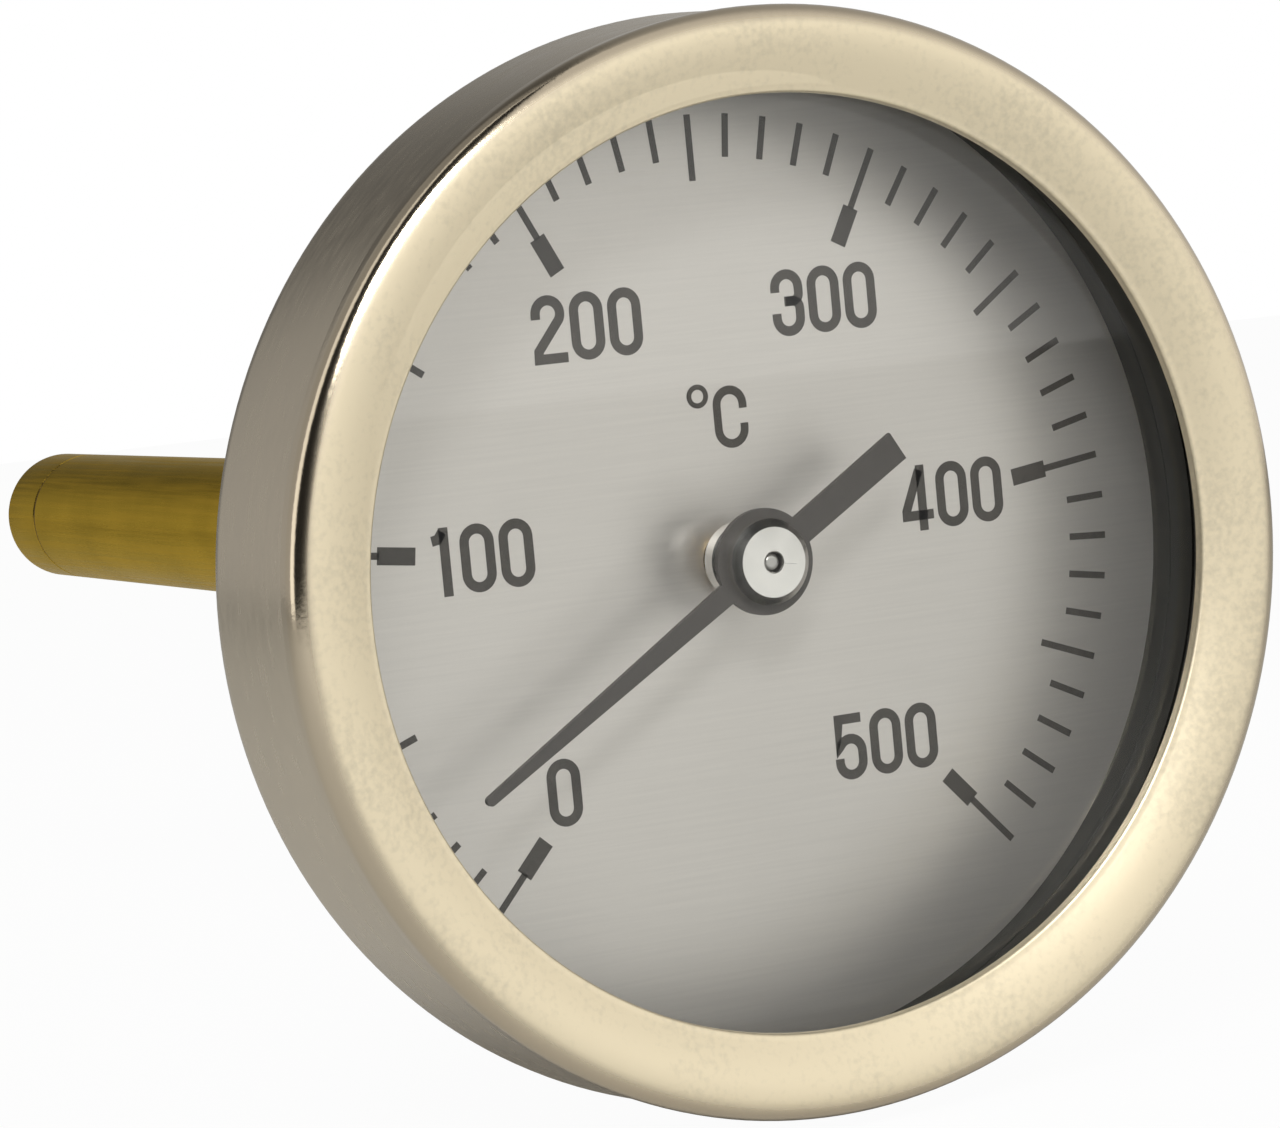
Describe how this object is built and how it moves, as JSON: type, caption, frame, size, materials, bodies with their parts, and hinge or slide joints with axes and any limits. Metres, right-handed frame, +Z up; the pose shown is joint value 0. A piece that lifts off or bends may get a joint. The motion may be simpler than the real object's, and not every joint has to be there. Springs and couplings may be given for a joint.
{
  "type": "oven thermometer",
  "caption": "Round dial oven thermometer with a flat-backed steel case, a printed temperature scale, a turning pointer and a plain brass stem that passes through the oven wall.",
  "frame": {"origin": "centre of the case's flat back, on the stem's axis, where the case seats on the oven wall", "axes": "+Y along the stem away from the case, -Y out of the dial, +Z up on the dial"},
  "size_m": [0.0626, 0.1296, 0.0626],
  "materials": {
    "case_steel": "satin nickel-plated steel",
    "bezel_steel": "satin nickel-plated steel, fine frosting",
    "gasket": "matt black",
    "window": "clear",
    "inner_ring": "semi-matt dark grey",
    "dial": "fine horizontal brushing",
    "plain_steel": "plain",
    "turned_brass": "turned",
    "stem_brass": "drawn, slightly dulled",
    "braze": "dark",
    "bimetal": "rolled strip",
    "turned_aluminium": "turned",
    "pointer": "semi-matt dark grey"
  },
  "bodies": {
    "root": {"case_cup": "case_steel", "bezel_ring": "bezel_steel", "window_gasket": "gasket", "window_glass": "window", "spacer_ring": "inner_ring", "dial_clamp_ring": "inner_ring", "dial_plate": "dial", "dial_support": "plain_steel", "bush_washer": "plain_steel", "stem_bush": "turned_brass", "stem_tube": "stem_brass", "braze_ring": "braze", "end_plug": "stem_brass", "upper_guide": "turned_brass", "middle_guide": "turned_brass", "coil_anchor": "turned_brass", "bimetal_coil": "bimetal"},
    "pointer": {"pointer_shaft": "plain_steel", "coil_collar": "turned_brass", "thrust_collar": "turned_brass", "pointer_spool": "turned_aluminium", "pointer_blade": "pointer", "pointer_cap": "turned_aluminium"}
  },
  "joints": [
    {"name": "pointer_turn", "type": "hinge", "parent": "root", "child": "pointer", "pos_m": [0, 0, 0], "axis": [0, 1, 0], "range_deg": [-16.5, 258.9], "stiffness_Nm_per_rad": 0.0005, "deforming": ["bimetal_coil"]}
  ]
}
